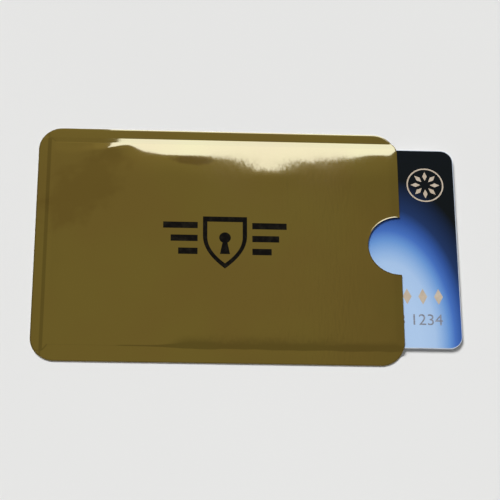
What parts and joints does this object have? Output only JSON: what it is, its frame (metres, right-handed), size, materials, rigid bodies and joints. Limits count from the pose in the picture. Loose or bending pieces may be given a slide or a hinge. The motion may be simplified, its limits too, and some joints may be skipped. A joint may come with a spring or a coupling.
{
  "type": "rfid card sleeve",
  "caption": "Flat gold shielding sleeve of laminated film, sealed on its long sides and one end, with a thumb notch in its open mouth and a contactless card that slides out.",
  "frame": {"origin": "centre of the sleeve's flat back face, halfway between its closed end and its mouth", "axes": "+X along the sleeve and out of its mouth, +Y across it towards the upper side seal, +Z from the back face to the front"},
  "size_m": [0.1053, 0.063, 0.0012],
  "materials": {
    "gold_film": "gold-lacquered metallised polyester, glossy",
    "shield_foil": "bright rolled foil",
    "seal_liner": "milky polyethylene",
    "card_overlay": "clear gloss laminate over the print",
    "card_print": "printed plastic sheet, blue",
    "card_core": "white plastic sheet",
    "antenna_foil": "etched foil",
    "chip_mould": "black moulding compound"
  },
  "bodies": {
    "sleeve": {"back_film": "gold_film", "back_foil": "shield_foil", "back_liner": "seal_liner", "upper_side_weld": "seal_liner", "lower_side_weld": "seal_liner", "end_weld": "seal_liner", "front_liner": "seal_liner", "front_foil": "shield_foil", "front_film": "gold_film"},
    "card": {"card_back_overlay": "card_overlay", "card_back_sheet": "card_print", "card_lower_core": "card_core", "card_inlay": "card_core", "card_antenna": "antenna_foil", "card_chip_module": "chip_mould", "card_upper_core": "card_core", "card_front_sheet": "card_print", "card_front_overlay": "card_overlay"}
  },
  "joints": [
    {"name": "card_slide", "type": "slide", "parent": "sleeve", "child": "card", "axis": [1, 0, 0], "range_m": [-0.0152, 0.072]}
  ]
}
